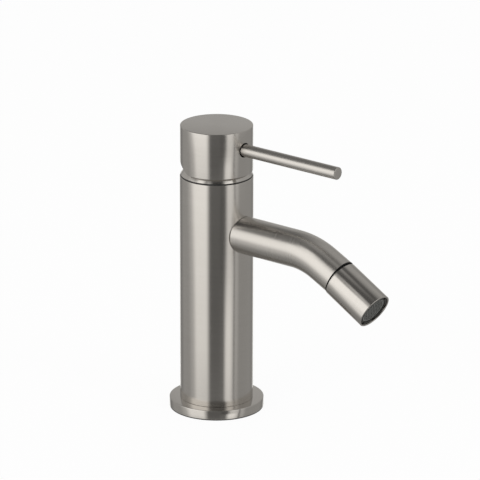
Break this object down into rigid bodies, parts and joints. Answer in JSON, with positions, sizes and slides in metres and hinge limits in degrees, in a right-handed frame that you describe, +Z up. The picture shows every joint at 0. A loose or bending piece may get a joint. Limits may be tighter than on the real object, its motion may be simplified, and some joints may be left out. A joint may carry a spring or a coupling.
{
  "type": "bidet mixer",
  "caption": "Single-lever deck mixer for a bidet: round column, side lever on a tipping cap, short bent spout with a swivelling aerator nozzle.",
  "frame": {"origin": "centre of the base on the deck, at the middle of the tap hole", "axes": "+Z up along the column, spout and lever towards -Y, hot side at -X"},
  "size_m": [0.0556, 0.1516, 0.1733],
  "materials": {
    "brushed_steel": "fine brushed, satin",
    "brass": "turned, unplated",
    "copper_tube": "drawn tube",
    "plain_steel": "ground",
    "ceramic": "lapped",
    "white_plastic": "moulded",
    "grey_plastic": "moulded",
    "black_rubber": "moulded"
  },
  "bodies": {
    "mixer_body": {"base_flange": "brushed_steel", "base_gasket": "black_rubber", "foot_block": "brass", "body_column": "brushed_steel", "hot_supply_pipe": "copper_tube", "cold_supply_pipe": "copper_tube", "valve_core": "brass", "cartridge_base": "white_plastic", "port_seals": "black_rubber", "disc_seals": "black_rubber", "fixed_disc": "ceramic", "cartridge_housing": "white_plastic", "cartridge_nut": "brass", "dome_gasket": "black_rubber", "dome_ring": "brushed_steel", "spout_tube": "brushed_steel", "spout_union": "brass", "union_seal": "black_rubber", "ball_socket": "brass", "socket_seal": "black_rubber", "socket_ring": "brass"},
    "rotor": {"stem_guide": "white_plastic", "pivot_pin": "plain_steel"},
    "handle": {"stem": "brass", "handle_insert": "white_plastic", "handle_cap": "brushed_steel", "grub_screw": "plain_steel", "lever_rod": "brushed_steel"},
    "disc": {"moving_disc": "ceramic", "disc_driver": "white_plastic"},
    "liner": {"ball_liner": "white_plastic"},
    "seat": {"ball_seat": "white_plastic", "ball_seal": "black_rubber"},
    "nozzle": {"ball_stud": "brass", "nozzle_insert": "brass", "insert_seal": "black_rubber", "nozzle_shell": "brushed_steel", "aerator_washer": "black_rubber", "aerator_housing": "grey_plastic", "aerator_mesh": "grey_plastic", "flow_plate": "white_plastic", "aerator_strainer": "white_plastic"}
  },
  "joints": [
    {"name": "lever_turn", "type": "hinge", "parent": "mixer_body", "child": "rotor", "pos_m": [0, 0, 0.13066], "axis": [0, 0, 1], "range_deg": [-45, 45]},
    {"name": "lever_lift", "type": "hinge", "parent": "rotor", "child": "handle", "pos_m": [0, 0, 0.13066], "axis": [-1, 0, 0], "range_deg": [0, 24]},
    {"name": "disc_slide", "type": "slide", "parent": "rotor", "child": "disc", "axis": [0, -1, 0], "range_m": [0, 0.00468]},
    {"name": "nozzle_tilt", "type": "hinge", "parent": "mixer_body", "child": "liner", "pos_m": [0, -0.08893, 0.10144], "axis": [1, 0, 0], "range_deg": [-16.6, 9.4]},
    {"name": "nozzle_swing", "type": "hinge", "parent": "liner", "child": "seat", "pos_m": [0, -0.08893, 0.10144], "axis": [0, -0.4939, 0.8695], "range_deg": [-13, 13]},
    {"name": "nozzle_spin", "type": "hinge", "parent": "seat", "child": "nozzle", "pos_m": [0, -0.08893, 0.10144], "axis": [0, -0.8695, -0.4939], "continuous": true}
  ],
  "couplings": [
    {"joint": "disc_slide", "follows": "lever_lift", "m_per_rad": 0.011167}
  ]
}
